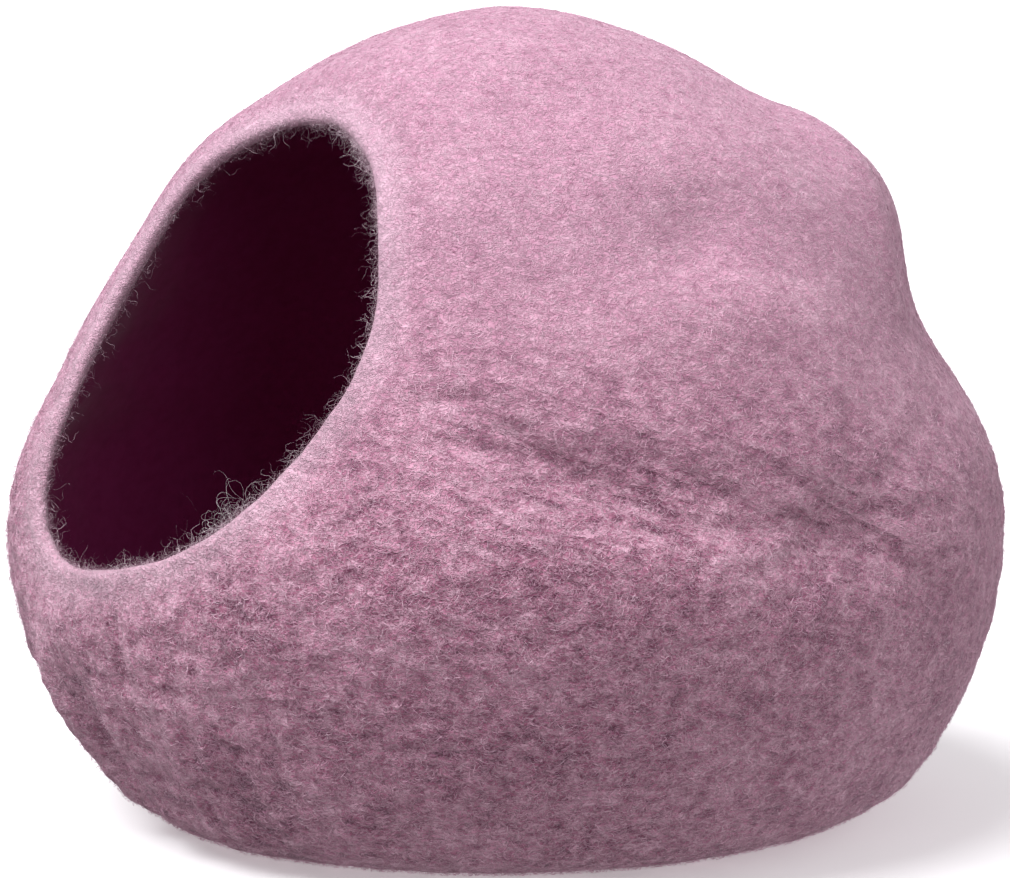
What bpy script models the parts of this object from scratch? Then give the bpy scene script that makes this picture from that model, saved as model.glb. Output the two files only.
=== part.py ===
"""Felt cat cave: one seamless skin of thick wet-felted wool, squashed round, open at the front.

Metres, +Z up. The cave rests on z = 0 and its mouth looks along -Y, tipped up. A place on the skin
is given as seen from the cave's middle: turn is degrees round from the mouth towards +X, and up is
degrees above the middle.
"""

import bmesh
import bpy
import numpy as np

WALL = 0.008  # thickness of the fulled felt
LIP_ROUND = 0.005  # how far the mouth's rubbed edge rounds out past the cut
MIDDLE_UP = 0.148  # height of the middle over the base
BASE_ROUND = 0.036  # how softly the belly turns into the flat base

COLUMNS = 72  # faces round the mouth
OUTER_ROWS = 36  # rings of faces from the mouth's edge to the far side
INNER_ROWS = 26
LIP_ROWS = 4

MOUTH_UP = 29.0  # degrees that the way in tips up

# How far the skin is from the middle, in metres.
REACH = (  # up, reach
    (-60.0, 0.205),
    (-45.0, 0.223),
    (-30.0, 0.230),
    (-15.0, 0.231),
    (0.0, 0.227),
    (15.0, 0.214),
    (30.0, 0.209),
    (45.0, 0.212),
    (60.0, 0.211),
    (75.0, 0.215),
    (90.0, 0.219),
    (105.0, 0.215),
)

# The mouth's edge in degrees from the way in, going round it from the +X side over the top.
MOUTH_EDGE = (  # round, away
    (0.0, 29.5),
    (30.0, 28.0),
    (60.0, 29.5),
    (90.0, 32.0),
    (120.0, 33.5),
    (150.0, 34.5),
    (180.0, 35.0),
    (210.0, 36.5),
    (240.0, 38.5),
    (270.0, 34.5),
    (300.0, 32.5),
    (330.0, 30.5),
)

# Soft swells and dents: wide and tall are spreads in degrees, out is metres, and less than 0 is in.
SWELLS = (  # name, turn, up, wide, tall, out
    ("flattened face round the mouth", 0, 29, 46, 46, -0.010),
    ("belly under the mouth", 6, -42, 16, 9, 0.004),
    ("shoulder", 139, 40, 13, 11, 0.013),
    ("nip under the shoulder", 131, 22, 20, 9, -0.008),
    ("hollow of the side", 72, 37, 17, 10, -0.007),
    ("swell under the hollow", 82, 28, 11, 6, 0.004),
    ("belly under the waist", 60, -6, 34, 11, 0.003),
    ("tuck under the far side", -38, -36, 30, 14, -0.008),
    ("pinched point", 92, 2, 6, 5, -0.007),
    ("hollow of the back", 200, 14, 26, 13, -0.006),
    ("swell of the back", 214, 42, 18, 12, 0.005),
    ("hollow of the far side", 272, 30, 20, 12, -0.006),
    ("belly of the far side", 285, -12, 30, 12, 0.003),
)

# Creases and ridges from one place to another: wide is a spread in degrees, out is metres.
FOLDS = (  # name, turn, up, to turn, to up, wide, out
    ("waist crease", 46, 11, 100, -2, 4.5, -0.008),
    ("waist crease towards the mouth", 38, 18, 66, 5, 3.5, -0.004),
    ("crease of the hollow", 72, 32, 92, 45, 4.0, -0.003),
    ("step by the crown", 57, 66, 58, 36, 6.0, -0.004),
    ("ridge before the shoulder", 136, 56, 118, 22, 5.0, 0.005),
    ("valley behind the ridge", 140, 50, 127, 24, 5.0, -0.004),
    ("pinch, up and back", 92, 3, 121, 14, 3.5, -0.001),
    ("pinch, down and back", 92, 3, 110, -12, 3.0, -0.003),
    ("pinch, down and forward", 92, 3, 74, -6, 3.0, -0.003),
    ("waist of the back", 175, 4, 232, 9, 4.5, -0.004),
    ("waist of the far side", 262, 3, 310, 10, 4.5, -0.004),
)


def smooth_through(table, at, closed=False):
    """A smooth curve through the table's rows of place and value, read at the places given."""
    places, values = np.array(table, float).T
    if closed:
        places = np.concatenate([places[-2:] - 360, places, places[:3] + 360])
        values = np.concatenate([values[-2:], values, values[:3]])
    slopes = np.gradient(values, places)
    at = np.clip(at, places[0], places[-1])
    row = np.clip(np.searchsorted(places, at, side="right") - 1, 0, len(places) - 2)
    gap = places[row + 1] - places[row]
    share = (at - places[row]) / gap
    rest = 1 - share
    start = values[row] * (1 + 2 * share) + gap * slopes[row] * share
    end = values[row + 1] * (1 + 2 * rest) - gap * slopes[row + 1] * rest
    return start * rest**2 + end * share**2


def heading(turn, up):
    """The direction from the middle to a place on the skin."""
    turn, up = np.radians(turn), np.radians(up)
    return np.array([np.sin(turn) * np.cos(up), -np.cos(turn) * np.cos(up), np.sin(up)])


def unit(vector):
    return vector / np.linalg.norm(vector)


def swell_out(way, turn, up, wide, tall, out):
    """What one swell adds along each direction: a soft bump about its place."""
    centre = heading(turn, up)
    across = unit(np.cross((0, 0, 1), centre))
    over = np.cross(centre, across)
    ahead = way @ centre
    x = np.degrees(np.arctan2(way @ across, ahead)) / wide
    y = np.degrees(np.arctan2(way @ over, ahead)) / tall
    return np.where(ahead > 0, out * np.exp(-(x**2) - y**2), 0)


def fold_out(way, turn, up, to_turn, to_up, wide, out):
    """What one crease or ridge adds: a soft trough along an arc, dying away at its two ends."""
    start, end = heading(turn, up), heading(to_turn, to_up)
    along, aside, centre = unit(end - start), unit(np.cross(start, end)), unit(start + end)
    x = np.arcsin(np.clip(way @ along, -1, 1)) / (np.arccos(start @ end) / 2)
    y = np.degrees(np.arcsin(np.clip(way @ aside, -1, 1))) / wide
    trough = out * np.clip(1 - x**2, 0, 1) * np.exp(-(y**2))
    return np.where(way @ centre > 0, trough, 0)


def reach_of(way, inset=0.0):
    """How far the skin is from the middle along each direction, or a skin this far inside it."""
    reach = smooth_through(REACH, np.degrees(np.arcsin(np.clip(way[..., 2], -1, 1)))) - inset
    for _, *swell in SWELLS:
        reach = reach + swell_out(way, *swell)
    for _, *fold in FOLDS:
        reach = reach + fold_out(way, *fold)
    to_base = (MIDDLE_UP - inset) / np.clip(-way[..., 2], 0.01, None)
    share = np.clip(0.5 + 0.5 * (to_base - reach) / BASE_ROUND, 0, 1)
    return to_base * (1 - share) + reach * share - BASE_ROUND * share * (1 - share)


def rings(rows, inset):
    """Rings of points about the way in, from the mouth's edge to the far point, left out itself."""
    way_in = heading(0, MOUTH_UP)
    right = np.array([1.0, 0.0, 0.0])
    over = np.cross(way_in, right)
    turns = np.arange(COLUMNS) * 360 / COLUMNS
    edge = smooth_through(MOUTH_EDGE, turns, closed=True)
    share = (np.arange(rows) / rows)[:, None]
    away = np.radians(edge + share * (180 - edge))[..., None]
    spin = np.radians(turns)[:, None]
    outwards = np.cos(spin) * right + np.sin(spin) * over
    way = np.cos(away) * way_in + np.sin(away) * outwards
    return way * reach_of(way, inset)[..., None]


def lip(outer_edge, inner_edge, past_edge):
    """The half-round edge of the felt, from the outer skin over to the inner one."""
    middle = (outer_edge + inner_edge) / 2
    half = (outer_edge - inner_edge) / 2
    inwards = middle - past_edge
    inwards = inwards / np.linalg.norm(inwards, axis=-1, keepdims=True)
    over = np.radians(180 * np.arange(1, LIP_ROWS) / LIP_ROWS)[:, None, None]
    return middle + np.cos(over) * half + np.sin(over) * LIP_ROUND * inwards


def felt_shell():
    """The whole cave as one closed skin, as rings of points from the outer far point to the inner."""
    outer, inner = rings(OUTER_ROWS, 0.0), rings(INNER_ROWS, WALL)
    edge = lip(outer[0], inner[0], (outer[1] + inner[1]) / 2)
    circles = np.concatenate([outer[::-1], edge, inner])
    far = -heading(0, MOUTH_UP)
    ends = [far * reach_of(far, inset) for inset in (0.0, WALL)]
    points = np.concatenate([circles.reshape(-1, 3), ends])
    middle = (points.min(axis=0) + points.max(axis=0)) / 2
    points = points - (middle[0], middle[1], points[:, 2].min())

    body = bmesh.new()
    verts = [body.verts.new(point) for point in points]
    grid = [verts[i * COLUMNS : (i + 1) * COLUMNS] for i in range(len(circles))]
    for this, below in zip(grid[:-1], grid[1:]):
        for j in range(COLUMNS):
            k = (j + 1) % COLUMNS
            body.faces.new((this[j], this[k], below[k], below[j]))
    for j in range(COLUMNS):
        k = (j + 1) % COLUMNS
        body.faces.new((verts[-2], grid[0][k], grid[0][j]))
        body.faces.new((verts[-1], grid[-1][j], grid[-1][k]))
    bmesh.ops.recalc_face_normals(body, faces=body.faces)
    for face in body.faces:
        face.smooth = True
    mesh = bpy.data.meshes.new("felt_shell")
    body.to_mesh(mesh)
    body.free()
    shell = bpy.data.objects.new("felt_shell", mesh)
    bpy.context.scene.collection.objects.link(shell)
    return shell


def wool_felt():
    felt = bpy.data.materials.new("wool_felt")
    felt.use_nodes = True
    shader = felt.node_tree.nodes["Principled BSDF"]
    shader.inputs["Base Color"].default_value = (0.50, 0.29, 0.40, 1)
    shader.inputs["Roughness"].default_value = 0.95
    shader.inputs["Metallic"].default_value = 0.0
    return felt


for old in list(bpy.data.objects):
    bpy.data.objects.remove(old)
felt_shell().data.materials.append(wool_felt())
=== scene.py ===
import bpy
import numpy as np
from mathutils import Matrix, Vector, noise


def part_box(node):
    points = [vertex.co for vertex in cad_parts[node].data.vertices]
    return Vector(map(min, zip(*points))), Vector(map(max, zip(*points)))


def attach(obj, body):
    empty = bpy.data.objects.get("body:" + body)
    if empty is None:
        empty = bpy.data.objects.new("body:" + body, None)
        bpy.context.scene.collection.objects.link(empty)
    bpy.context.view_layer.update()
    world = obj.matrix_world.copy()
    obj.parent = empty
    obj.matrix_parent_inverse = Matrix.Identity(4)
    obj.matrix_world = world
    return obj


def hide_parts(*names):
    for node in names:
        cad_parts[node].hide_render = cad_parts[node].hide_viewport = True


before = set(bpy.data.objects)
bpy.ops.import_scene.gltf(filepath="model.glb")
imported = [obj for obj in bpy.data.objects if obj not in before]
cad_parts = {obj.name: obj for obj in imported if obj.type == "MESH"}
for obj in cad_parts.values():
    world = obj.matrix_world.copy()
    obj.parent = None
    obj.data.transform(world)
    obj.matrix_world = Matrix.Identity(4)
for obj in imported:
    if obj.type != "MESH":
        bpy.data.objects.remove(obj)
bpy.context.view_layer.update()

# ---------------------------------------------------------------------------------------------
# The felt shell. The whole cave is one seamless skin of sheep's wool, 8 mm thick: wool laid round
# a flat resist, wetted and rubbed until it shrank and locked, then cut open at the mouth and
# pushed into a squashed ball by hand. A thin inner layer is wine red, and the rest is dusty pink.
# ---------------------------------------------------------------------------------------------

WALL = 0.008  # thickness of the fulled felt
LIP_ROUND = 0.005  # how far the mouth's rubbed edge rounds out past the cut
LIP_CURL = 0.0045  # how far the skin turns in as it comes to the edge
CURL_LONG = 0.013  # metres of skin that it turns in over
INNER_CURL_SHARE = 0.9  # the inner skin turns in a little less
MIDDLE_UP = 0.148  # height of the middle over the base
BASE_ROUND = 0.036  # how softly the belly turns into the flat base
MOUTH_UP = 29.0  # degrees that the way in tips up
MEAN_REACH = 0.22  # for turning degrees of skin into metres

ROUND = 400  # points round the mouth on the outer skin
ROUND_INSIDE = 200  # points round the mouth on the inner one
OUTER_ROWS = 205
INNER_ROWS = 72
LIP_ROWS = 8

# A place on the skin is given as seen from the middle: turn is degrees round from the mouth
# towards +X, and up is degrees above the middle. reach is how far the skin is from the middle.
REACH = (  # up, reach
    (-60.0, 0.205),
    (-45.0, 0.223),
    (-30.0, 0.230),
    (-15.0, 0.231),
    (0.0, 0.227),
    (15.0, 0.214),
    (30.0, 0.209),
    (45.0, 0.212),
    (60.0, 0.211),
    (75.0, 0.215),
    (90.0, 0.219),
    (105.0, 0.215),
)

# The mouth's edge in degrees from the way in, going round it from the +X side over the top.
MOUTH_EDGE = (  # round, away
    (0.0, 29.5),
    (30.0, 28.0),
    (60.0, 29.5),
    (90.0, 32.0),
    (120.0, 33.5),
    (150.0, 34.5),
    (180.0, 35.0),
    (210.0, 36.5),
    (240.0, 38.5),
    (270.0, 34.5),
    (300.0, 32.5),
    (330.0, 30.5),
)

# Soft swells and dents: wide and tall are spreads in degrees, out is metres, and less than 0 is in.
SWELLS = (  # name, turn, up, wide, tall, out
    ("flattened face round the mouth", 0, 29, 46, 46, -0.010),
    ("belly under the mouth", 6, -42, 16, 9, 0.004),
    ("shoulder", 139, 40, 13, 11, 0.013),
    ("nip under the shoulder", 131, 22, 20, 9, -0.008),
    ("hollow of the side", 72, 37, 17, 10, -0.007),
    ("swell under the hollow", 82, 28, 11, 6, 0.004),
    ("belly under the waist", 60, -6, 34, 11, 0.003),
    ("tuck under the far side", -38, -36, 30, 14, -0.008),
    ("pinched point", 92, 2, 6, 5, -0.007),
    ("hollow of the back", 200, 14, 26, 13, -0.006),
    ("swell of the back", 214, 42, 18, 12, 0.005),
    ("hollow of the far side", 272, 30, 20, 12, -0.006),
    ("belly of the far side", 285, -12, 30, 12, 0.003),
)

# Creases and ridges from one place to another: wide is a spread in degrees, out is metres.
FOLDS = (  # name, turn, up, to turn, to up, wide, out
    ("waist crease", 46, 11, 100, -2, 4.5, -0.008),
    ("waist crease towards the mouth", 38, 18, 66, 5, 3.5, -0.004),
    ("crease of the hollow", 72, 32, 92, 45, 4.0, -0.003),
    ("step by the crown", 57, 66, 58, 36, 6.0, -0.004),
    ("ridge before the shoulder", 136, 56, 118, 22, 5.0, 0.005),
    ("valley behind the ridge", 140, 50, 127, 24, 5.0, -0.004),
    ("pinch, up and back", 92, 3, 121, 14, 3.5, -0.001),
    ("pinch, down and back", 92, 3, 110, -12, 3.0, -0.003),
    ("pinch, down and forward", 92, 3, 74, -6, 3.0, -0.003),
    ("waist of the back", 175, 4, 232, 9, 4.5, -0.004),
    ("waist of the far side", 262, 3, 310, 10, 4.5, -0.004),
)

# Finer wrinkles, where the wet felt was pushed together: the same columns. Their arcs wander.
WRINKLES = (
    ("mouth side, top", 33, 24, 50, 21, 0.9, -0.0009),
    ("mouth side, second", 32, 19, 52, 17, 0.9, -0.0010),
    ("mouth side, third", 34, 14, 54, 11, 1.0, -0.0010),
    ("mouth side, low", 38, 9, 56, 6, 1.0, -0.0010),
    ("waist, first", 42, 19, 60, 8, 1.1, -0.0018),
    ("waist, second", 50, 15, 71, 3, 1.2, -0.0020),
    ("waist, third", 58, 14, 82, 5, 1.2, -0.0018),
    ("waist, under", 56, 5, 80, 1, 1.3, -0.0016),
    ("pinch, forward high", 74, 12, 92, 4, 1.2, -0.0022),
    ("pinch, forward", 70, 3, 92, 3, 1.2, -0.0022),
    ("pinch, forward low", 73, -3, 91, 2, 1.1, -0.0022),
    ("pinch, forward lowest", 78, -7, 92, 1, 1.0, -0.0018),
    ("pinch, straight down", 89, -11, 92, 2, 1.1, -0.0016),
    ("pinch, back low", 92, 2, 108, -8, 1.1, -0.0024),
    ("pinch, back lower", 91, 1, 101, -12, 1.0, -0.0018),
    ("pinch, back level", 93, 3, 112, 2, 1.1, -0.0018),
    ("pinch, back high", 92, 4, 112, 13, 1.6, -0.0012),
    ("pinch, up", 91, 4, 96, 17, 1.2, -0.0018),
)

# Upright folds where the skin is gathered in under the mouth: the same columns.
GATHERS = (
    ("outer valley", -27, -10, -24, -33, 3.5, -0.0035),
    ("ridge", -19, -12, -14, -40, 3.0, 0.0045),
    ("inner valley", -12, -14, -8, -40, 3.0, -0.0040),
)

# The unevenness that rubbing by hand leaves: how big it is, and how far it stands, in metres.
LUMP_SIZE, LUMP_HIGH = 0.045, 0.0012
PEBBLE_WIDE, PEBBLE_TALL = 0.0095, 0.0070
PEBBLE_HIGH, PEBBLE_MORE_LOW_DOWN = 0.0002, 0.0013
RIB_WIDE, RIB_TALL, RIB_HIGH = 0.0095, 0.060, 0.0052
RIPPLE_WIDE, RIPPLE_TALL, RIPPLE_HIGH = 0.024, 0.0075, 0.0013
WANDER_SIZE, WANDER_DEGREES = 0.03, 1.1
INSIDE_SIZE, INSIDE_HIGH = 0.02, 0.0008
LIP_LUMP_SIZE, LIP_LUMP_HIGH = 0.022, 0.0009
RIB_SHADE_FULL = 0.0022  # a rib this far out gets the full painted light, and a groove this deep the full painted shade
RUBBED_AT_EDGE = 0.6  # how much of it the mouth's edge has lost
BASE_FADE = 0.02  # it dies away over this height above the base

# Where the skin was gathered, rippled and wrinkled, and how far round each of those spreads.
UNDER_MOUTH = (8, 24, -26, 17)  # turn, wide, up, tall: degrees
BESIDE_MOUTH = (48, 18, 12, 14)
WAIST = (58, 24, 10, 11)
PINCH = (96, 16, 2, 10)


def smooth_through(table, at, closed=False):
    """A smooth curve through the table's rows of place and value, read at the places given."""
    places, values = np.array(table, float).T
    if closed:
        places = np.concatenate([places[-2:] - 360, places, places[:3] + 360])
        values = np.concatenate([values[-2:], values, values[:3]])
    slopes = np.gradient(values, places)
    at = np.clip(at, places[0], places[-1])
    row = np.clip(np.searchsorted(places, at, side="right") - 1, 0, len(places) - 2)
    gap = places[row + 1] - places[row]
    share = (at - places[row]) / gap
    rest = 1 - share
    start = values[row] * (1 + 2 * share) + gap * slopes[row] * share
    end = values[row + 1] * (1 + 2 * rest) - gap * slopes[row + 1] * rest
    return start * rest**2 + end * share**2


def heading(turn, up):
    """The direction from the middle to a place on the skin."""
    turn, up = np.radians(turn), np.radians(up)
    return np.array([np.sin(turn) * np.cos(up), -np.cos(turn) * np.cos(up), np.sin(up)])


def turn_and_up(way):
    """The turn and the up, in degrees, of each direction from the middle."""
    up = np.degrees(np.arcsin(np.clip(way[..., 2], -1, 1)))
    return np.degrees(np.arctan2(way[..., 0], -way[..., 1])), up


def unit(vector):
    return vector / np.linalg.norm(vector, axis=-1, keepdims=True)


def swell_out(way, turn, up, wide, tall, out):
    """What one swell adds along each direction: a soft bump about its place."""
    centre = heading(turn, up)
    across = unit(np.cross((0, 0, 1), centre))
    over = np.cross(centre, across)
    ahead = way @ centre
    x = np.degrees(np.arctan2(way @ across, ahead)) / wide
    y = np.degrees(np.arctan2(way @ over, ahead)) / tall
    return np.where(ahead > 0, out * np.exp(-(x**2) - y**2), 0)


def fold_out(way, turn, up, to_turn, to_up, wide, out, wander=0.0):
    """What one crease or ridge adds: a soft trough along an arc, dying away at its two ends."""
    start, end = heading(turn, up), heading(to_turn, to_up)
    along, aside, centre = unit(end - start), unit(np.cross(start, end)), unit(start + end)
    x = np.arcsin(np.clip(way @ along, -1, 1)) / (np.arccos(start @ end) / 2)
    y = (np.degrees(np.arcsin(np.clip(way @ aside, -1, 1))) + wander) / wide
    trough = out * np.clip(1 - x**2, 0, 1) * np.exp(-(y**2))
    return np.where(way @ centre > 0, trough, 0)


def reach_of(way, inset=0.0):
    """How far the skin is from the middle along each direction, or a skin this far inside it."""
    reach = smooth_through(REACH, turn_and_up(way)[1]) - inset
    for _, *swell in SWELLS:
        reach = reach + swell_out(way, *swell)
    for _, *fold in FOLDS:
        reach = reach + fold_out(way, *fold)
    to_base = (MIDDLE_UP - inset) / np.clip(-way[..., 2], 0.01, None)
    share = np.clip(0.5 + 0.5 * (to_base - reach) / BASE_ROUND, 0, 1)
    return to_base * (1 - share) + reach * share - BASE_ROUND * share * (1 - share)


def wool_noise(across, over, deep, seed):
    """Smooth noise from -1 to 1 at each point of three grids of coordinates."""
    shape = np.broadcast(across, over, deep).shape
    spots = np.stack([np.broadcast_to(part, shape).ravel() for part in (across, over, deep)], axis=1)
    return np.array([noise.noise(Vector(spot)) for spot in spots + seed]).reshape(shape)


def near(value, middle, wide):
    """1 at the middle, falling away softly on both sides of it."""
    return np.exp(-(((value - middle) / wide) ** 2))


def about(way, turn, wide, up, tall):
    """1 at one place on the skin, falling away softly round it."""
    turns, ups = turn_and_up(way)
    return near(turns, turn, wide) * near(ups, up, tall)


def ribs_at(way, point):
    """How far the upright ribs under the mouth stand out, where the skin was gathered in."""
    x, y, z = np.moveaxis(point, -1, 0)
    round_arc = np.radians(turn_and_up(way)[0]) * np.hypot(x, y)
    ribs = wool_noise(round_arc / RIB_WIDE, z / RIB_TALL, 0, seed=11.3) * RIB_HIGH
    ribs = ribs * about(way, *UNDER_MOUTH)
    return ribs + sum(fold_out(way, *gather) for _, *gather in GATHERS)


def hand_relief(way):
    """How far the hand-rubbed surface stands over the smooth shape: pebbles, ribs and wrinkles."""
    point = way * reach_of(way)[..., None]
    x, y, z = np.moveaxis(point, -1, 0)
    turn, up = turn_and_up(way)
    round_arc = np.radians(turn) * np.hypot(x, y)
    lumps = wool_noise(x / LUMP_SIZE, y / LUMP_SIZE, z / LUMP_SIZE, seed=3.1) * LUMP_HIGH
    low_down = np.clip((22 - up) / 30, 0, 1)
    pebbles = wool_noise(x / PEBBLE_WIDE, y / PEBBLE_WIDE, z / PEBBLE_TALL, seed=7.7)
    pebbles = pebbles * (PEBBLE_HIGH + PEBBLE_MORE_LOW_DOWN * low_down)
    ripples = wool_noise(round_arc / RIPPLE_WIDE, z / RIPPLE_TALL, 0, seed=5.9) * RIPPLE_HIGH
    ripples = ripples * about(way, *BESIDE_MOUTH)
    wander = wool_noise(x / WANDER_SIZE, y / WANDER_SIZE, z / WANDER_SIZE, seed=1.7) * WANDER_DEGREES
    wrinkles = sum(fold_out(way, *wrinkle, wander=wander) for _, *wrinkle in WRINKLES)
    off_base = np.clip((z + MIDDLE_UP) / BASE_FADE, 0, 1)
    return (lumps + pebbles + ribs_at(way, point) + ripples + wrinkles) * off_base


way_in = heading(0, MOUTH_UP)
to_right = np.array([1.0, 0.0, 0.0])
over_mouth = np.cross(way_in, to_right)


def rings(rows, columns):
    """Directions in rings about the way in, from the mouth's edge to just before the far point,
    and how many metres of skin lie between each and the edge. Rings are closer by the mouth."""
    turns = np.arange(columns) * 360 / columns
    edge = smooth_through(MOUTH_EDGE, turns, closed=True)
    step = (np.arange(rows) / rows)[:, None]
    gone = np.radians(step * (0.55 + 0.45 * step) * (180 - edge))
    away = (np.radians(edge) + gone)[..., None]
    spin = np.radians(turns)[:, None]
    outwards = np.cos(spin) * to_right + np.sin(spin) * over_mouth
    return np.cos(away) * way_in + np.sin(away) * outwards, gone * MEAN_REACH


def coarse_at(way):
    """How shaggy the nap was left, from 0 on the well-rubbed crown to 1 low down in front. The felt's colour
    also follows it as painted light and shade: paler on the crown, darker low down.
    """
    turn, up = turn_and_up(way)
    low_down = np.clip((38 - up) / 36, 0, 1)
    in_front = np.clip((112 - np.abs(turn - 14)) / 60, 0, 1)
    return low_down * (0.45 + 0.55 * in_front)


def creased_at(way):
    """How much the skin was pushed into fine wrinkles: 1 along the waist and about the pinch."""
    return np.clip(about(way, *WAIST) + about(way, *PINCH), 0, 1)


def curl_in(from_edge):
    """How far the skin has turned in at this many metres from the mouth's edge."""
    return LIP_CURL * near(from_edge, 0, CURL_LONG)


outer_way, outer_gone = rings(OUTER_ROWS, ROUND)
outer_reach = reach_of(outer_way) - curl_in(outer_gone)
left_by_rubbing = 1 - RUBBED_AT_EDGE * near(outer_gone, 0, CURL_LONG)
outer = outer_way * (outer_reach + hand_relief(outer_way) * left_by_rubbing)[..., None]
inner_way, inner_gone = rings(INNER_ROWS, ROUND_INSIDE)
inner_reach = reach_of(inner_way, WALL) - INNER_CURL_SHARE * curl_in(inner_gone)
inner_point = inner_way * inner_reach[..., None]
soft_inside = wool_noise(*np.moveaxis(inner_point / INSIDE_SIZE, -1, 0), seed=9.2) * INSIDE_HIGH
inner = inner_point + inner_way * soft_inside[..., None]

rim_way = outer_way[0]
inner_edge = rim_way * (reach_of(rim_way, WALL) - INNER_CURL_SHARE * LIP_CURL)[..., None]
inner[0] = inner_edge[::2]
mid_edge = (outer[0] + inner_edge) / 2
half_edge = (outer[0] - inner_edge) / 2
past_edge = unit(outer[0] - outer[1])
over = np.radians(180 * np.arange(1, LIP_ROWS) / LIP_ROWS)[:, None, None]
from_mid = np.cos(over) * half_edge + np.sin(over) * LIP_ROUND * past_edge
lip = mid_edge + from_mid
lip_lumps = wool_noise(*np.moveaxis(lip / LIP_LUMP_SIZE, -1, 0), seed=2.3) * LIP_LUMP_HIGH
lip = lip + unit(from_mid) * lip_lumps[..., None]

# The two skins run from a far point outside, over the lip, to a far point inside.
far = -way_in
skins = [part.reshape(-1, 3) for part in (outer[::-1], lip, inner_edge[None], inner[1:])]
points = np.concatenate(skins + [[far * reach_of(far)], [far * reach_of(far, WALL)]])
low, high = points.min(axis=0), points.max(axis=0)
cad_low, cad_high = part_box("felt_shell")
shift = (np.array(cad_low) + np.array(cad_high)) / 2 - (low + high) / 2
shift[2] = MIDDLE_UP
points = points + shift
points[:, 2] = np.maximum(points[:, 2], 0)


def strip(first, second, columns):
    """Quads between two closed rings of points, given by the number of their first points."""
    here = np.arange(columns)
    there = (here + 1) % columns
    return np.stack([first + here, first + there, second + there, second + here], axis=1)


def strips(first, rings, columns):
    """Quads between rings of points that follow one another, from the first point's number."""
    starts = first + columns * np.arange(rings)
    return [strip(*pair, columns) for pair in zip(starts[:-1], starts[1:])]


full_rings = OUTER_ROWS + LIP_ROWS
first_inside = full_rings * ROUND
inside_rings = INNER_ROWS - 1
quads = strips(0, full_rings, ROUND) + strips(first_inside, inside_rings, ROUND_INSIDE)
quads = np.concatenate(quads)

# The inner skin has half as many points round, so three triangles join each of its gaps to two
# of the lip's.
inside = np.arange(ROUND_INSIDE)
beside = (inside + 1) % ROUND_INSIDE
edge_ring = (full_rings - 1) * ROUND
lip_here = edge_ring + 2 * inside
lip_next = edge_ring + 2 * inside + 1
lip_last = edge_ring + (2 * inside + 2) % ROUND
step_down = np.concatenate(
    [
        np.stack([lip_here, lip_next, first_inside + inside], axis=1),
        np.stack([lip_next, first_inside + beside, first_inside + inside], axis=1),
        np.stack([lip_next, lip_last, first_inside + beside], axis=1),
    ]
)
last_inside = first_inside + (inside_rings - 1) * ROUND_INSIDE
outer_end, inner_end = len(points) - 2, len(points) - 1
outside = np.arange(ROUND)
caps = np.concatenate(
    [
        np.stack([np.full(ROUND, outer_end), (outside + 1) % ROUND, outside], axis=1),
        np.stack([np.full(ROUND_INSIDE, inner_end), last_inside + inside, last_inside + beside], axis=1),
    ]
)


def mesh_of(name, points, quads, triangles=()):
    """A smooth-shaded mesh object from arrays of points, quads and triangles."""
    mesh = bpy.data.meshes.new(name)
    corners = np.concatenate([np.ravel(quads), np.ravel(triangles)]).astype(np.int32)
    sizes = np.concatenate([np.full(len(quads), 4), np.full(len(triangles), 3)])
    mesh.vertices.add(len(points))
    mesh.vertices.foreach_set("co", np.ravel(points).astype(np.float32))
    mesh.loops.add(len(corners))
    mesh.loops.foreach_set("vertex_index", corners)
    mesh.polygons.add(len(sizes))
    starts = np.concatenate([[0], np.cumsum(sizes)[:-1]]).astype(np.int32)
    mesh.polygons.foreach_set("loop_start", starts)
    mesh.polygons.foreach_set("use_smooth", np.ones(len(sizes), bool))
    mesh.update(calc_edges=True)
    mesh.validate()
    piece = bpy.data.objects.new(name, mesh)
    bpy.context.scene.collection.objects.link(piece)
    return piece


felt_shell = mesh_of("felt_skin", points, quads, np.concatenate([step_down, caps]))

# How many metres past the mouth's edge each point lies: less than 0 outside, more than 0 inside.
over_lip = np.repeat(WALL * np.arange(1, LIP_ROWS)[:, None] / LIP_ROWS, ROUND, axis=1)
far_in = (-outer_gone[::-1], over_lip, np.full((1, ROUND), WALL), WALL + inner_gone[1:])
from_middle = points - shift
on_points = {
    "far_in": np.concatenate([part.ravel() for part in far_in] + [[-1.0, 1.0]]),
    # This value also sets painted light and shade in the felt's colour: paler on the crown, darker low down in
    # front.
    "coarse_and_shaded": coarse_at(unit(from_middle)),
    # This value also sets painted shade in the bottoms of the fine wrinkles at the waist and the pinch.
    "creased": creased_at(unit(from_middle)),
    # This value also sets painted shade in the grooves between the ribs under the mouth, and painted light on
    # the ribs.
    "rib_shade": np.clip(ribs_at(unit(from_middle), from_middle) / RIB_SHADE_FULL, -1, 1),
}
for name, values in on_points.items():
    attribute = felt_shell.data.attributes.new(name, "FLOAT", "POINT")
    attribute.data.foreach_set("value", values.astype(np.float32))


def linear(colour):
    """The linear colour of an sRGB hex value."""
    parts = np.array([int(colour[i : i + 2], 16) for i in (1, 3, 5)]) / 255
    parts = np.where(parts <= 0.04045, parts / 12.92, ((parts + 0.055) / 1.055) ** 2.4)
    return (*parts, 1.0)


def add(tree, kind, links=(), settings=(), **inputs):
    """A new node with its settings, its fixed inputs, and links from other nodes' outputs."""
    node = tree.nodes.new("ShaderNode" + kind)
    for key, value in dict(settings).items():
        setattr(node, key, value)
    for key, value in inputs.items():
        node.inputs[int(key[1:]) if key[0] == "_" else key.replace("_", " ")].default_value = value
    for socket, output in dict(links).items():
        tree.links.new(output, node.inputs[socket])
    return node


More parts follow.
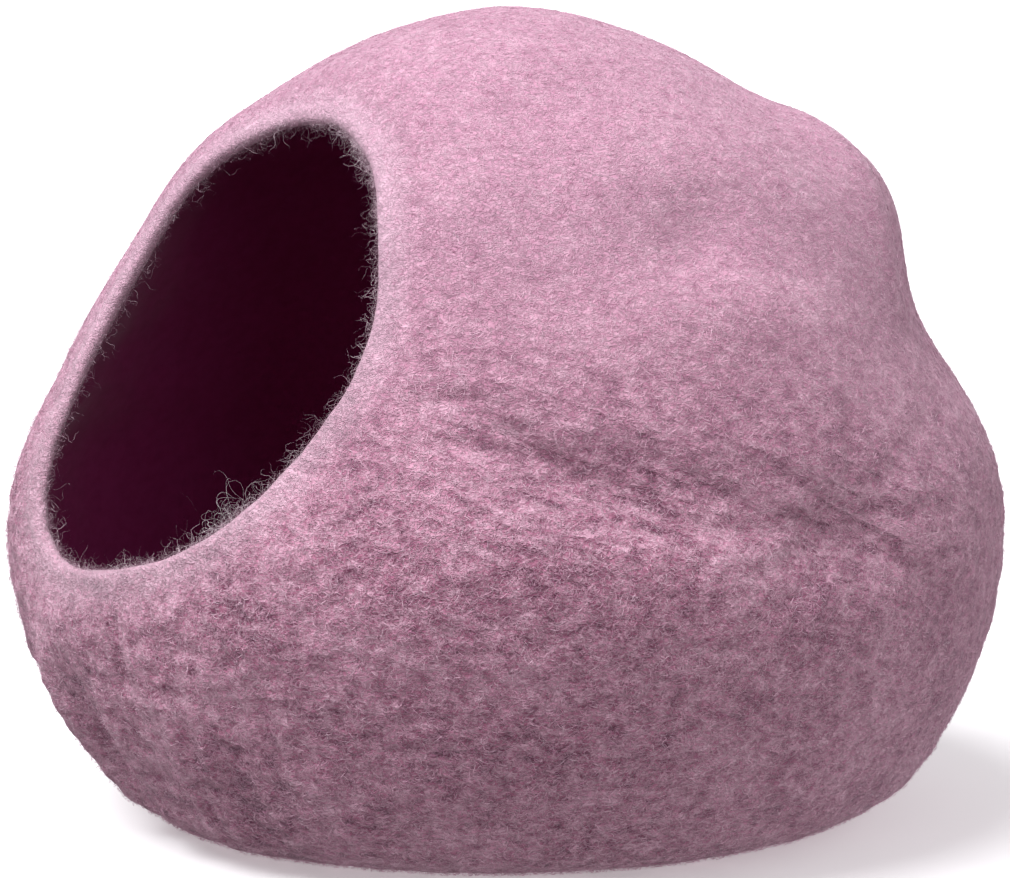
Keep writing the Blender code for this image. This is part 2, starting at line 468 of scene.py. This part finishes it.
def ramp(tree, fac, *stops):
    """Colours that follow one another as fac goes from stop to stop: (place, hex), in order."""
    tint = add(tree, "ValToRGB", {"Fac": fac})
    for _ in stops[2:]:
        tint.color_ramp.elements.new(0.5)
    for element, (where, colour) in zip(tint.color_ramp.elements, stops):
        element.position, element.color = where, linear(colour)
    return tint.outputs["Color"]


def spread(tree, value, out_of, to=(0.0, 1.0), soft=False):
    """A value moved from one span of numbers to another, and held at the ends."""
    settings = {"interpolation_type": "SMOOTHSTEP" if soft else "LINEAR"}
    node = add(tree, "MapRange", {"Value": value}, settings)
    for socket, amount in zip(("From Min", "From Max", "To Min", "To Max"), (*out_of, *to)):
        node.inputs[socket].default_value = amount
    return node.outputs["Result"]


def maths(tree, operation, first, second=None, third=None):
    """One sum of up to three terms, each of them a fixed number or another node's output."""
    node = add(tree, "Math", settings={"operation": operation})
    for socket, term in enumerate((first, second, third)):
        if isinstance(term, (int, float)):
            node.inputs[socket].default_value = term
        elif term is not None:
            tree.links.new(term, node.inputs[socket])
    return node.outputs["Value"]


def strand_lines(tree, lying, size, thick):
    """Thin wandering lines, 1 on a line and 0 off it, a few mm apart."""
    curls = add(tree, "TexNoise", {"Vector": lying}, Scale=1 / size, Detail=1.0, Distortion=1.2)
    off = maths(tree, "SUBTRACT", curls.outputs["Fac"], 0.5)
    return spread(tree, maths(tree, "ABSOLUTE", off), (0.0, thick), (1.0, 0.0), soft=True)


def waist_wrinkles(tree, place):
    """Streaks that run down along the waist towards the pinch, 30 mm long and 6 mm apart."""
    along_waist = unit(heading(82, 3) - heading(42, 19))
    across_waist = np.cross(heading(62, 11), along_waist)
    pushed = []
    for line, size in ((along_waist, 0.030), (across_waist, 0.0058)):
        settings = {"operation": "DOT_PRODUCT"}
        part = add(tree, "VectorMath", {0: place}, settings, _1=tuple(line / size))
        pushed.append(part.outputs["Value"])
    folded = add(tree, "CombineXYZ", {0: pushed[0], 1: pushed[1]}).outputs["Vector"]
    streaks = add(tree, "TexNoise", {"Vector": folded}, Scale=1.0, Detail=1.5, Distortion=0.5)
    return streaks.outputs["Fac"]


def wool_felt():
    """Fulled wool, dyed in the fleece: dull and matt, with paler hairs lying over a deeper ground.
    Single hairs are 0.03 mm wide, too fine to show, so these lines stand for small strands."""
    felt = bpy.data.materials.new("wet_felted_wool")
    felt.use_nodes = True
    tree = felt.node_tree
    shader = tree.nodes["Principled BSDF"]
    place = add(tree, "TexCoord").outputs["Object"]
    lying = add(tree, "Mapping", {"Vector": place}, Scale=(1.0, 1.0, 1.6)).outputs["Vector"]
    names = ("far_in", "coarse_and_shaded", "creased", "rib_shade")
    read = [add(tree, "Attribute", settings={"attribute_name": name}) for name in names]
    far_in, coarse_and_shaded, creased, rib_shade = [node.outputs["Fac"] for node in read]
    strand = maths(
        tree, "MAXIMUM", strand_lines(tree, lying, 0.0042, 0.070), strand_lines(tree, lying, 0.0027, 0.085)
    )
    clumps = add(tree, "TexNoise", {"Vector": lying}, Scale=1 / 0.0075, Detail=4.0, Roughness=0.62)
    clumps = clumps.outputs["Fac"]
    drift = add(tree, "TexNoise", {"Vector": place}, Scale=1 / 0.045, Detail=2.0).outputs["Fac"]
    streaks = waist_wrinkles(tree, place)

    # How pale the colour is from place to place: the wool's own tone drifts at random, and painted shade is
    # added, darker in the gaps between clumps, in the bottoms of the fine wrinkles, and in the grooves between
    # the ribs under the mouth, with painted light on the ribs.
    clumped = maths(tree, "MULTIPLY_ADD", drift, 0.3, maths(tree, "MULTIPLY", clumps, 0.7))
    off_streak = maths(tree, "MULTIPLY", maths(tree, "SUBTRACT", streaks, 0.5), creased)
    wrinkled = maths(tree, "MULTIPLY_ADD", off_streak, 0.5, clumped)
    tone_and_shade = maths(tree, "MULTIPLY_ADD", rib_shade, 0.06, wrinkled)

    # Low down in front the ground is darker, a painted shade, and its clumps stand apart with deep painted
    # shade in the gaps between them; on the crown it is paler, a painted light, and more even.
    paler_upper_ground = ramp(tree, tone_and_shade, (0.34, "#c08aa4"), (0.50, "#cf9ab3"), (0.66, "#dcabc1"))
    shaded_low_ground = ramp(tree, tone_and_shade, (0.35, "#744059"), (0.48, "#b1738d"), (0.60, "#d79db6"))
    ground = add(tree, "Mix", {0: coarse_and_shaded, 6: paler_upper_ground, 7: shaded_low_ground}, {"data_type": "RGBA"}).outputs[2]
    hairs = ramp(tree, tone_and_shade, (0.36, "#d2a2b8"), (0.64, "#f0c9db"))
    showing = maths(tree, "MULTIPLY", strand, spread(tree, coarse_and_shaded, (0.0, 1.0), (0.30, 0.65)))
    haired = add(tree, "Mix", {0: showing, 6: ground, 7: hairs}, {"data_type": "RGBA"}).outputs[2]

    # Round the mouth the colour turns paler: a painted highlight along the rolled lip.
    rim_highlight = spread(tree, far_in, (-0.018, 0.0), (0.0, 0.32), soft=True)
    outside = add(tree, "Mix", {0: rim_highlight, 6: haired}, {"data_type": "RGBA"})
    outside.inputs[7].default_value = linear("#ecd0de")

    # The wine layer starts where the pink wool that was wrapped over the edge runs out.
    ragged = maths(tree, "MULTIPLY_ADD", clumps, 0.016, far_in)
    inside = spread(tree, ragged, (0.011, 0.030), soft=True)
    wine = ramp(tree, tone_and_shade, (0.38, "#8e2c64"), (0.62, "#98346e"))
    links = {0: inside, 6: outside.outputs[2], 7: wine}
    whole = add(tree, "Mix", links, {"data_type": "RGBA"})
    tree.links.new(whole.outputs[2], shader.inputs["Base Color"])

    # Matt, with a soft pale glow at the edge of sight from the hairs that stand up.
    shader.inputs["Roughness"].default_value = 0.9
    shader.inputs["Specular IOR Level"].default_value = 0.12
    shader.inputs["Sheen Weight"].default_value = 0.5
    shader.inputs["Sheen Roughness"].default_value = 0.32
    shader.inputs["Sheen Tint"].default_value = linear("#e6dde2")

    # Clumps, wrinkles and strands stand up a little, and hardly at all on the inner layer.
    shown = spread(tree, inside, (0.0, 1.0), (1.0, 0.08))
    deep = maths(tree, "MULTIPLY", spread(tree, coarse_and_shaded, (0.0, 1.0), (0.35, 1.0)), shown)
    normal = add(tree, "Bump", {"Height": clumps, "Strength": deep}, Distance=0.0032).outputs["Normal"]
    for height, strength, high in ((streaks, creased, 0.0055), (strand, shown, 0.0004)):
        links = {"Height": height, "Strength": strength, "Normal": normal}
        normal = add(tree, "Bump", links, Distance=high).outputs["Normal"]
    tree.links.new(normal, shader.inputs["Normal"])
    return felt


felt_shell.data.materials.append(wool_felt())
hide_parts("felt_shell")
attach(felt_shell, "root")

# ---------------------------------------------------------------------------------------------
# The nap. Fulling leaves the outermost hairs half free: short arcs of pale wool, tucked in at one
# end or both, that lie mostly level on the sides and every way on the crown. They come from the
# same fleece, in four shades that were carded together.
# ---------------------------------------------------------------------------------------------

HAIR_LONG = (0.0025, 0.0070)  # metres, shortest and longest
HAIR_WIDE = (0.00012, 0.00024)  # single hairs are finer; these stand for two or three together
HAIR_HIGH = (0.0002, 0.0016)  # how far the arc stands off the coarsest felt
HAIR_STEPS = 4  # points along each hair
AIM_SPREAD, BEND_SPREAD = 0.75, 1.3  # radians: off level, and round its own arc
LOOSE_SHARE = 0.25  # hairs with one end free
EACH_SHADE = 40500  # hairs of each shade
SHADES = (  # name, seed, colour, deeper
    ("pale", 11, "#efc9db", "#dbaec4"),
    ("pink", 12, "#e0acc4", "#cb90ac"),
    ("rose", 13, "#c88fab", "#a96c8b"),
    ("lilac", 14, "#d8b9c9", "#bf96ab"),
)

skin = outer + shift
skin[..., 2] = np.maximum(skin[..., 2], 0)
along_round = np.roll(skin, -1, axis=1) - np.roll(skin, 1, axis=1)
along_rows = np.gradient(skin, axis=0)
skin_out = unit(np.cross(along_round, along_rows))
skin_out *= np.sign(np.sum(skin_out * outer, axis=-1, keepdims=True))
cell = np.linalg.norm(np.cross(along_round, along_rows), axis=-1)[:-1]


def spots_on_skin(count, draw):
    """Places scattered evenly over the outer skin, with the way out from it at each."""
    chance = cell.ravel()
    pick = draw.choice(chance.size, count, p=chance / chance.sum())
    row, column = np.unravel_index(pick, cell.shape)
    u, v = draw.random((2, count, 1))
    beside = (column + 1) % ROUND

    def between(grid):
        upper = grid[row, column] * (1 - u) + grid[row, beside] * u
        lower = grid[row + 1, column] * (1 - u) + grid[row + 1, beside] * u
        return upper * (1 - v) + lower * v

    return between(skin), unit(between(skin_out))


def ribbon_mesh(name, paths, sides, wide):
    """One mesh of thin ribbons along paths (hairs, points, 3), pointed at both ends."""
    hairs, steps, _ = paths.shape
    body = paths[:, 1:-1]
    taper = np.sin(np.linspace(0, np.pi, steps))[1:-1] ** 0.5
    half = sides[:, 1:-1] * (wide[:, None] * taper / 2)[..., None]
    inner_count = steps - 2
    points = np.concatenate([paths[:, :1], body - half, body + half, paths[:, -1:]], axis=1)
    each = 2 * inner_count + 2
    left = 1 + np.arange(inner_count)
    right = left + inner_count
    quads = np.stack([left[:-1], left[1:], right[1:], right[:-1]], axis=1)
    tips = np.array([[0, left[0], right[0]], [each - 1, right[-1], left[-1]]])
    first = (np.arange(hairs) * each)[:, None, None]
    quads, tips = (quads + first).reshape(-1, 4), (tips + first).reshape(-1, 3)
    return mesh_of(name, points.reshape(-1, 3), quads, tips)


def wool_hair(name, colour, deeper):
    """Loose dyed wool: dull, with a little sheen, and the shade drifting lock by lock."""
    wool = bpy.data.materials.new(name)
    wool.use_nodes = True
    tree = wool.node_tree
    shader = tree.nodes["Principled BSDF"]
    place = add(tree, "TexCoord").outputs["Object"]
    locks = add(tree, "TexNoise", {"Vector": place}, Scale=90.0, Detail=2.0)
    shade = ramp(tree, locks.outputs["Fac"], (0.38, deeper), (0.62, colour))
    tree.links.new(shade, shader.inputs["Base Color"])
    shader.inputs["Roughness"].default_value = 0.8
    shader.inputs["Specular IOR Level"].default_value = 0.2
    shader.inputs["Sheen Weight"].default_value = 0.3
    shader.inputs["Sheen Roughness"].default_value = 0.4
    return wool


def laid_hairs(count, draw):
    """Paths of short arcs that lie over the skin, and the way that each ribbon is wide."""
    root, out = spots_on_skin(count, draw)
    level = unit(np.cross((0, 0, 1), out) + 1e-6)
    over = np.cross(out, level)
    long = draw.uniform(*HAIR_LONG, count)[:, None]
    aim = draw.normal(0, AIM_SPREAD, count) + np.pi * draw.integers(0, 2, count)
    aim = (aim * (1 + np.clip(out[:, 2], 0, 1)))[:, None]  # every way on the crown
    bend = draw.normal(0, BEND_SPREAD, count)[:, None]
    share = np.linspace(0, 1, HAIR_STEPS)[None]
    turned = aim + bend * (share - 0.5)
    x = np.cumsum(np.cos(turned), axis=1) * long / HAIR_STEPS
    y = np.cumsum(np.sin(turned), axis=1) * long / HAIR_STEPS
    loose = (draw.random(count) < LOOSE_SHARE)[:, None]
    high = draw.uniform(*HAIR_HIGH, count)[:, None]
    high = high * (0.25 + 0.75 * coarse_at(unit(root - shift)))[:, None]
    lift = np.where(loose, share**1.5, np.sin(np.pi * share)) * high
    paths = root[:, None] + x[..., None] * level[:, None] + y[..., None] * over[:, None]
    paths = paths + lift[..., None] * out[:, None]
    paths[..., 2] = np.maximum(paths[..., 2], 0.0001)
    sides = -np.sin(turned)[..., None] * level[:, None] + np.cos(turned)[..., None] * over[:, None]
    twist = draw.normal(0, 0.5, count)[:, None, None] * out[:, None]
    return paths, unit(sides + twist)


for shade, seed, colour, deeper in SHADES:
    draw = np.random.default_rng(seed)
    paths, sides = laid_hairs(EACH_SHADE, draw)
    nap = ribbon_mesh("nap_" + shade, paths, sides, draw.uniform(*HAIR_WIDE, EACH_SHADE))
    nap.data.materials.append(wool_hair("wool_" + shade, colour, deeper))
    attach(nap, "root")

# ---------------------------------------------------------------------------------------------
# The fuzz of the mouth. Nobody shears the cut edge, so the wool that was wrapped over it stands
# out in long crimped hairs, thickest along the bottom and the top corner, with one loose tuft.
# ---------------------------------------------------------------------------------------------

FUZZ_WIDE = (0.00005, 0.00011)  # metres, finest and coarsest
CRIMP, CRIMP_TURNS = 0.8, 10.0  # radians that a hair waves each way, and along its length
TWIST, TWIST_TURNS = 0.3, 7.0  # how far it leaves its own plane
ALL_ROUND = (  # round the mouth, how thick the fuzz stands
    (0.0, 0.9),
    (30.0, 1.4),
    (60.0, 3.0),
    (90.0, 1.2),
    (120.0, 0.5),
    (150.0, 0.3),
    (180.0, 0.3),
    (210.0, 0.4),
    (240.0, 0.8),
    (270.0, 1.5),
    (300.0, 1.7),
    (330.0, 1.1),
)
EVENLY = ((0.0, 1.0), (120.0, 1.0), (180.0, 1.0), (240.0, 1.0))
LOW_TUFT = ((0.0, 0.0), (180.0, 0.0), (297.0, 0.0), (304.0, 1.0), (311.0, 0.0))
FEW_STRAYS = ((0.0, 1.0), (20.0, 0.6), (60.0, 0.0), (270.0, 0.0), (300.0, 0.6), (330.0, 0.2))

lip_skin = np.concatenate([lip[:, ::2], inner_edge[None, ::2], inner[1:5]]) + shift
mouth_middle = lip_skin.mean(axis=(0, 1))

# rows is where on the lip the hairs are rooted, counted inwards over the edge. steps is the points
# along each. long is in metres. towards is how much they reach for the middle of the mouth, and
# curl is the spread, in radians, of how far they turn round.
FUZZ = (  # name, seed, count, thick, rows, steps, long, towards, curl, colour, deeper
    ("inside_the_lip", 21, 8000, ALL_ROUND, (5, 9.5), 5, (0.003, 0.008), (0.0, 0.4), 2.0, "#d0a5b8", "#ab7f95"),
    ("along_the_lip", 25, 5500, EVENLY, (0, 8), 4, (0.003, 0.006), (0.0, 0.3), 1.5, "#e4c4d3", "#c79fb3"),
    ("over_the_mouth", 22, 6000, ALL_ROUND, (2, 9), 8, (0.004, 0.020), (0.1, 1.0), 4.5, "#ead2dd", "#cdaebd"),
    ("tuft", 23, 150, LOW_TUFT, (2, 9), 16, (0.012, 0.042), (0.5, 1.3), 9.0, "#f4e8ee", "#deccd5"),
    ("strays", 24, 9, FEW_STRAYS, (2, 9), 24, (0.022, 0.048), (0.8, 1.5), 7.0, "#c9a9b9", "#a98297"),
)


def spots_on_lip(count, draw, thick, rows):
    """Places scattered over these rows of the lip, with the way along the lip at each."""
    chance = smooth_through(thick, np.arange(ROUND_INSIDE) * 360 / ROUND_INSIDE, closed=True)
    chance = np.clip(chance, 0, None)
    column = draw.choice(ROUND_INSIDE, count, p=chance / chance.sum())
    beside = (column + 1) % ROUND_INSIDE
    row, past_row = np.divmod(draw.uniform(*rows, count), 1)
    row, past_row = row.astype(int), past_row[:, None]
    near_end = lip_skin[row, column] * (1 - past_row) + lip_skin[row + 1, column] * past_row
    far_end = lip_skin[row, beside] * (1 - past_row) + lip_skin[row + 1, beside] * past_row
    root = near_end + (far_end - near_end) * draw.random((count, 1))
    return root, unit(lip_skin[0, beside] - lip_skin[0, column])


def crimped_hairs(root, along, draw, steps, long, towards, curl):
    """Paths of crimped hairs that curl over the opening, and the way that each ribbon is wide."""
    count = len(root)
    to_middle = unit(mouth_middle - root)
    lean = along * draw.normal(0, 1.0, (count, 1)) - way_in * draw.uniform(-0.3, 0.6, (count, 1))
    aim = unit(to_middle * draw.uniform(*towards, (count, 1)) + lean)
    axis = unit(draw.normal(0, 1, (count, 3)))
    side = unit(np.cross(axis, aim))
    aim = np.cross(side, axis)
    share = np.linspace(0, 1, steps)
    wave = CRIMP * np.sin(share * CRIMP_TURNS + draw.uniform(0, 2 * np.pi, (count, 1)))
    angle = draw.normal(0, curl, count)[:, None] * share**1.5 + wave
    longs = long[0] + (long[1] - long[0]) * draw.random(count) ** 2
    step = (longs / steps)[:, None, None]
    moves = np.cos(angle)[..., None] * aim[:, None] + np.sin(angle)[..., None] * side[:, None]
    moves = (moves + axis[:, None] * TWIST * np.sin(share * TWIST_TURNS)[:, None]) * step
    paths = root[:, None] + np.cumsum(moves, axis=1) - moves[:, :1]
    return paths, unit(np.cross(moves, axis[:, None]))


for name, seed, count, thick, rows, steps, long, towards, curl, colour, deeper in FUZZ:
    draw = np.random.default_rng(seed)
    root, along = spots_on_lip(count, draw, thick, rows)
    paths, sides = crimped_hairs(root, along, draw, steps, long, towards, curl)
    fuzz = ribbon_mesh("fuzz_" + name, paths, sides, draw.uniform(*FUZZ_WIDE, count))
    fuzz.data.materials.append(wool_hair("loose_wool_" + name, colour, deeper))
    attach(fuzz, "root")

# ---------------------------------------------------------------------------------------------
# The studio: a plain white paper floor, a big soft light above and to the left, a weaker one from
# the right that reaches into the mouth, one from behind that catches the edges, and the camera.
# ---------------------------------------------------------------------------------------------

CAMERA_TURN, CAMERA_UP = 50.0, 9.0  # degrees round from the mouth, and above the horizon
CAMERA_AWAY = 1.8
WIDTH_SEEN = 0.4646  # metres across the view at the cave's middle
VIEW_SHIFT = (0.002, 0.0426)  # shares of the view's width that the middle sits off centre
FLOOR_WIDE = 60.0

middle = np.array([shift[0], shift[1], MIDDLE_UP])
half_floor = FLOOR_WIDE / 2
floor_corners = [(x * half_floor, y * half_floor, 0) for x, y in ((-1, -1), (1, -1), (1, 1), (-1, 1))]
floor = mesh_of("studio_floor", floor_corners, [(0, 1, 2, 3)])
paper = bpy.data.materials.new("matt_white_paper")
paper.use_nodes = True
tree = paper.node_tree
grain = add(tree, "TexNoise", Scale=900.0, Detail=2.0)
white = ramp(tree, grain.outputs["Fac"], (0.3, "#efeeef"), (0.7, "#f3f2f3"))
sheet = tree.nodes["Principled BSDF"]
tree.links.new(white, sheet.inputs["Base Color"])
sheet.inputs["Roughness"].default_value = 0.95
sheet.inputs["Specular IOR Level"].default_value = 0.1
sheet.inputs["Emission Color"].default_value = linear("#ffffff")
sheet.inputs["Emission Strength"].default_value = 0.3  # lit from below
floor.data.materials.append(paper)
floor.visible_diffuse = False  # the world below the horizon stands for the light that it throws up


def aimed(thing, turn, up, away):
    """Puts a thing this far round from the mouth, this far up and away, looking at the cave."""
    thing.location = middle + heading(turn, up) * away
    thing.rotation_euler = (Vector(middle) - thing.location).to_track_quat("-Z", "Y").to_euler()
    bpy.context.scene.collection.objects.link(thing)


lens = bpy.data.cameras.new("camera")
lens.sensor_fit = "HORIZONTAL"
lens.sensor_width = 36.0
lens.lens = lens.sensor_width * CAMERA_AWAY / WIDTH_SEEN
lens.shift_x, lens.shift_y = VIEW_SHIFT
lens.clip_end = 100
camera = bpy.data.objects.new("camera", lens)
aimed(camera, CAMERA_TURN, CAMERA_UP, CAMERA_AWAY)
bpy.context.scene.camera = camera

SOFTBOXES = (  # name, strength, colour, degrees wide, turn, up
    ("key_softbox", 3.95, (0.985, 0.985, 1.0), 50, -20, 60),
    ("fill_softbox", 0.55, (1.0, 1.0, 1.0), 30, 76, 22),
    ("edge_softbox", 0.8, (1.0, 1.0, 1.0), 60, 155, 12),
)
for name, strength, colour, wide, turn, up in SOFTBOXES:
    light = bpy.data.lights.new(name, "SUN")
    light.energy, light.color, light.angle = strength, colour, np.radians(wide)
    aimed(bpy.data.objects.new(name, light), turn, up, 3.0)

world = bpy.data.worlds.new("studio")
world.use_nodes = True
tree = world.node_tree
skyward = add(tree, "SeparateXYZ", {"Vector": add(tree, "TexCoord").outputs["Generated"]})
height = spread(tree, skyward.outputs["Z"], (-1.0, 1.0))
SKY = ((0.0, "#e4e2e4"), (0.30, "#6c6b6c"), (0.55, "#9f9ea0"), (1.0, "#b4b3b6"))  # from below up
glow = ramp(tree, height, *SKY)
tree.links.new(glow, tree.nodes["Background"].inputs["Color"])
bpy.context.scene.world = world
bpy.context.scene.view_settings.view_transform = "Standard"
